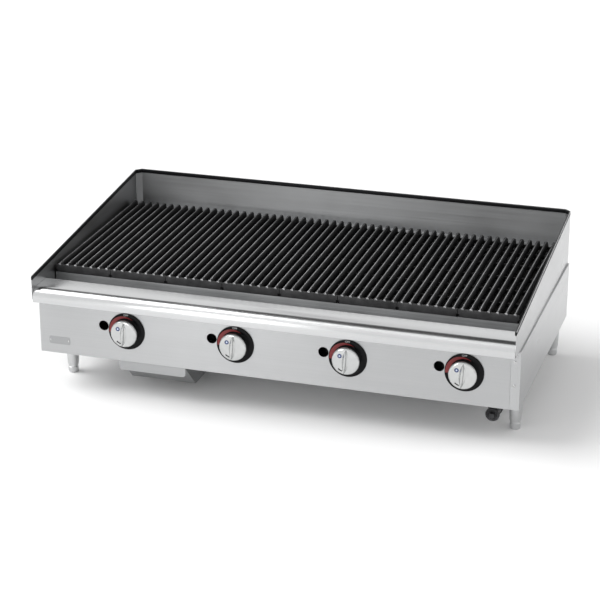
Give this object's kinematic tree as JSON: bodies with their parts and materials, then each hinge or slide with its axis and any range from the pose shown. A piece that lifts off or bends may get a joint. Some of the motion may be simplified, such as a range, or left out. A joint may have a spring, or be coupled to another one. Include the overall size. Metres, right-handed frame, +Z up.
{
  "type": "charbroiler grill",
  "caption": "Counter-top gas radiant charbroiler: stainless body with splashes and bull nose, ribbed cast-iron grates, turning gas knobs, burners, levelling legs and a grease drawer.",
  "frame": {"origin": "bottom centre of the whole appliance, on the counter under the feet", "axes": "+X to the cook's right along the front, +Y from the control panel to the rear, +Z up"},
  "size_m": [1.219, 0.696, 0.392],
  "materials": {
    "body_stainless": "fine horizontal brushing",
    "splash_stainless": "fine brushing, darker inside from heat",
    "nose_stainless": "bright horizontal brushing",
    "aluminised_steel": "dull aluminised sheet",
    "firebox_steel": "heat-darkened sheet",
    "grate_iron": "seasoned cast iron, worn bright on the ridges",
    "radiant_iron": "rough cast plate",
    "brass": "machined",
    "bezel_black": "gloss black with a red range arc",
    "knob_chrome": "polished",
    "black_iron": "black pipe fitting",
    "leg_nickel": "satin nickel plate",
    "foot_nickel": "satin nickel plate",
    "drawer_steel": "satin sheet",
    "screw_steel": "plated"
  },
  "bodies": {
    "body": {"control_panel": "body_stainless", "side_panel_left": "body_stainless", "side_panel_right": "body_stainless", "rear_panel": "body_stainless", "splash_left": "splash_stainless", "splash_right": "splash_stainless", "splash_back": "splash_stainless", "bull_nose": "nose_stainless", "base_pan": "aluminised_steel", "drawer_rail_left": "aluminised_steel", "drawer_rail_right": "aluminised_steel", "burner_1": "aluminised_steel", "burner_2": "aluminised_steel", "burner_3": "aluminised_steel", "burner_4": "aluminised_steel", "firebox_front": "firebox_steel", "firebox_rear": "firebox_steel", "radiant_1": "radiant_iron", "radiant_2": "radiant_iron", "radiant_3": "radiant_iron", "radiant_4": "radiant_iron", "valve_1": "brass", "valve_2": "brass", "valve_3": "brass", "valve_4": "brass", "bezel_1": "bezel_black", "bezel_2": "bezel_black", "bezel_3": "bezel_black", "bezel_4": "bezel_black", "gas_manifold": "black_iron", "gas_tee": "black_iron", "tee_plug": "black_iron", "supply_pipe": "black_iron", "leg_front_left": "leg_nickel", "leg_front_right": "leg_nickel", "leg_rear_left": "leg_nickel", "leg_rear_right": "leg_nickel", "flange_screw_lower": "screw_steel", "flange_screw_upper": "screw_steel"},
    "knob_1_body": {"knob_1": "knob_chrome", "valve_stem_1": "brass"},
    "knob_2_body": {"knob_2": "knob_chrome", "valve_stem_2": "brass"},
    "knob_3_body": {"knob_3": "knob_chrome", "valve_stem_3": "brass"},
    "knob_4_body": {"knob_4": "knob_chrome", "valve_stem_4": "brass"},
    "grate_1_body": {"grate_1": "grate_iron"},
    "grate_2_body": {"grate_2": "grate_iron"},
    "grate_3_body": {"grate_3": "grate_iron"},
    "grate_4_body": {"grate_4": "grate_iron"},
    "grate_5_body": {"grate_5": "grate_iron"},
    "grate_6_body": {"grate_6": "grate_iron"},
    "grate_7_body": {"grate_7": "grate_iron"},
    "grate_8_body": {"grate_8": "grate_iron"},
    "foot_front_left_body": {"foot_front_left": "foot_nickel"},
    "foot_front_right_body": {"foot_front_right": "foot_nickel"},
    "foot_rear_left_body": {"foot_rear_left": "foot_nickel"},
    "foot_rear_right_body": {"foot_rear_right": "foot_nickel"},
    "grease_drawer_body": {"grease_drawer": "drawer_steel"}
  },
  "joints": [
    {"name": "knob_1_turn", "type": "hinge", "parent": "body", "child": "knob_1_body", "pos_m": [-0.375, -0.322, 0.183], "axis": [0, -1, 0], "range_deg": [0, 180]},
    {"name": "knob_2_turn", "type": "hinge", "parent": "body", "child": "knob_2_body", "pos_m": [-0.091, -0.322, 0.183], "axis": [0, -1, 0], "range_deg": [0, 180]},
    {"name": "knob_3_turn", "type": "hinge", "parent": "body", "child": "knob_3_body", "pos_m": [0.193, -0.322, 0.183], "axis": [0, -1, 0], "range_deg": [0, 180]},
    {"name": "knob_4_turn", "type": "hinge", "parent": "body", "child": "knob_4_body", "pos_m": [0.477, -0.322, 0.183], "axis": [0, -1, 0], "range_deg": [0, 180]},
    {"name": "grate_1_lift", "type": "slide", "parent": "body", "child": "grate_1_body", "axis": [0, 0, 1], "range_m": [0, 0.12]},
    {"name": "grate_2_lift", "type": "slide", "parent": "body", "child": "grate_2_body", "axis": [0, 0, 1], "range_m": [0, 0.12]},
    {"name": "grate_3_lift", "type": "slide", "parent": "body", "child": "grate_3_body", "axis": [0, 0, 1], "range_m": [0, 0.12]},
    {"name": "grate_4_lift", "type": "slide", "parent": "body", "child": "grate_4_body", "axis": [0, 0, 1], "range_m": [0, 0.12]},
    {"name": "grate_5_lift", "type": "slide", "parent": "body", "child": "grate_5_body", "axis": [0, 0, 1], "range_m": [0, 0.12]},
    {"name": "grate_6_lift", "type": "slide", "parent": "body", "child": "grate_6_body", "axis": [0, 0, 1], "range_m": [0, 0.12]},
    {"name": "grate_7_lift", "type": "slide", "parent": "body", "child": "grate_7_body", "axis": [0, 0, 1], "range_m": [0, 0.12]},
    {"name": "grate_8_lift", "type": "slide", "parent": "body", "child": "grate_8_body", "axis": [0, 0, 1], "range_m": [0, 0.12]},
    {"name": "foot_front_left_level", "type": "slide", "parent": "body", "child": "foot_front_left_body", "axis": [0, 0, -1], "range_m": [0, 0.03]},
    {"name": "foot_front_right_level", "type": "slide", "parent": "body", "child": "foot_front_right_body", "axis": [0, 0, -1], "range_m": [0, 0.03]},
    {"name": "foot_rear_left_level", "type": "slide", "parent": "body", "child": "foot_rear_left_body", "axis": [0, 0, -1], "range_m": [0, 0.03]},
    {"name": "foot_rear_right_level", "type": "slide", "parent": "body", "child": "foot_rear_right_body", "axis": [0, 0, -1], "range_m": [0, 0.03]},
    {"name": "grease_drawer_slide", "type": "slide", "parent": "body", "child": "grease_drawer_body", "axis": [0, -1, 0], "range_m": [0, 0.24]}
  ]
}
